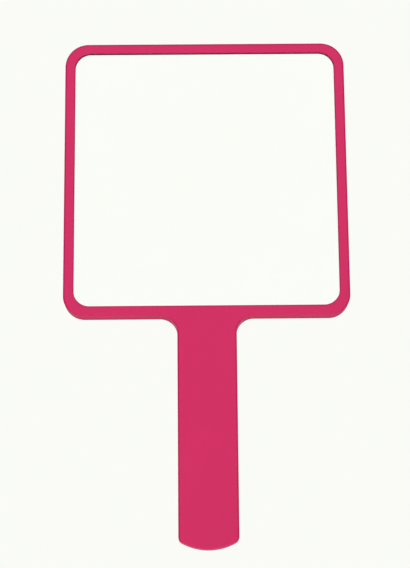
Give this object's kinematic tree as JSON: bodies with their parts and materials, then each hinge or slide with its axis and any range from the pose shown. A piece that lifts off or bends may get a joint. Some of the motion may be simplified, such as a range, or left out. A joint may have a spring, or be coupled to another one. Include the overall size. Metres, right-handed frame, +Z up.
{
  "type": "hand mirror",
  "caption": "Flat square-headed hand mirror with rounded corners, a thin plastic frame flush round the glass, and a straight flat handle with a bowed end.",
  "frame": {"origin": "centre of the grip: half-way along the handle, half-way through its thickness, on the plane of symmetry", "axes": "+Z up the handle towards the head, -Y the way the mirror faces, +X to the right for someone looking at the mirror"},
  "size_m": [0.1472, 0.011, 0.265],
  "materials": {
    "frame_plastic": "satin",
    "cover_plastic": "satin",
    "glass": "polished",
    "silvering": "polished",
    "foam": "matte",
    "screw_steel": "satin"
  },
  "bodies": {
    "root": {"front_frame": "frame_plastic", "rear_cover": "cover_plastic", "mirror_glass": "glass", "mirror_silvering": "silvering", "foam_tape_1": "foam", "foam_tape_2": "foam", "foam_tape_3": "foam", "foam_tape_4": "foam", "neck_screw_left": "screw_steel", "neck_screw_right": "screw_steel", "grip_screw_upper": "screw_steel", "grip_screw_lower": "screw_steel"}
  },
  "joints": []
}
